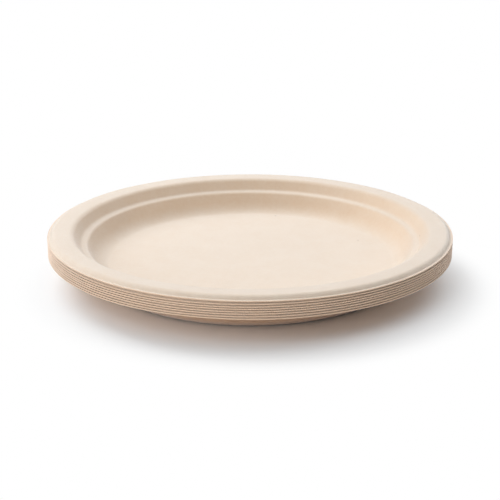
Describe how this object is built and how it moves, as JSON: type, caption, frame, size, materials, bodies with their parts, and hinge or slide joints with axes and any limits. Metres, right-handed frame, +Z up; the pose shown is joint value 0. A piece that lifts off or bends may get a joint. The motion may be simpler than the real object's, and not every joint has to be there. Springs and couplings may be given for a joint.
{
  "type": "stack of paper plates",
  "caption": "Nested stack of round shallow disposable plates pressed from unbleached plant fibre, with a flat lip, a broad flange and a stacking ledge.",
  "frame": {"origin": "centre of the underside of the lowest plate, on the surface that the stack stands on", "axes": "+Z up through the middle of every plate; +X to the right as the stack is seen from the front"},
  "size_m": [0.254, 0.254, 0.0309],
  "materials": {
    "moulded_fibre": "matt pressed plant fibre, unbleached, with fine flecks"
  },
  "bodies": {
    "root": {"plate_1": "moulded_fibre", "plate_2": "moulded_fibre", "plate_3": "moulded_fibre", "plate_4": "moulded_fibre", "plate_5": "moulded_fibre", "plate_6": "moulded_fibre", "plate_7": "moulded_fibre", "plate_8": "moulded_fibre"}
  },
  "joints": []
}
